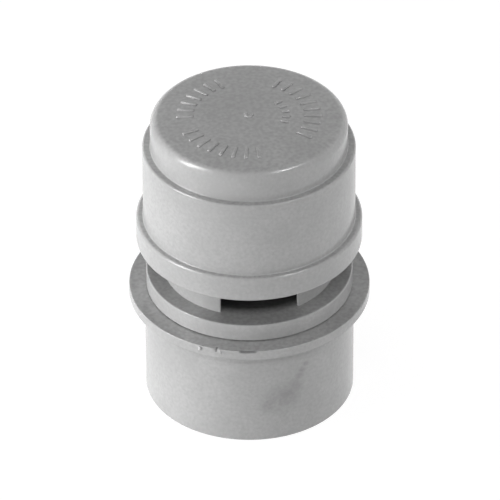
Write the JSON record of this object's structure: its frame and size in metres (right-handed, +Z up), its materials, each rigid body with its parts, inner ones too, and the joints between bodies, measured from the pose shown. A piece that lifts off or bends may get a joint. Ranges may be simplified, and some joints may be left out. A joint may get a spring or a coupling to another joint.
{
  "type": "air admittance valve",
  "caption": "Air admittance valve for a drain: flanged spigot, windowed neck and stepped round cap over a ring diaphragm that lifts to let air in and drops shut by its weight.",
  "frame": {"origin": "centre of the spigot's lower rim, on the valve's axis", "axes": "+Z up along the valve's axis towards the cap, -Y towards the front window"},
  "size_m": [0.0644, 0.0644, 0.0869],
  "materials": {
    "grey_plastic": "satin moulded",
    "seal_rubber": "matt moulded",
    "white_plastic": "natural moulded"
  },
  "bodies": {
    "housing": {"spigot": "grey_plastic", "spigot_seal": "seal_rubber", "valve_body": "grey_plastic", "cap": "grey_plastic", "cap_seal": "seal_rubber"},
    "valve": {"diaphragm": "seal_rubber", "carrier": "white_plastic", "retainer_ring": "white_plastic"}
  },
  "joints": [
    {"name": "valve_lift", "type": "slide", "parent": "housing", "child": "valve", "axis": [0, 0, 1], "range_m": [0, 0.006]}
  ]
}
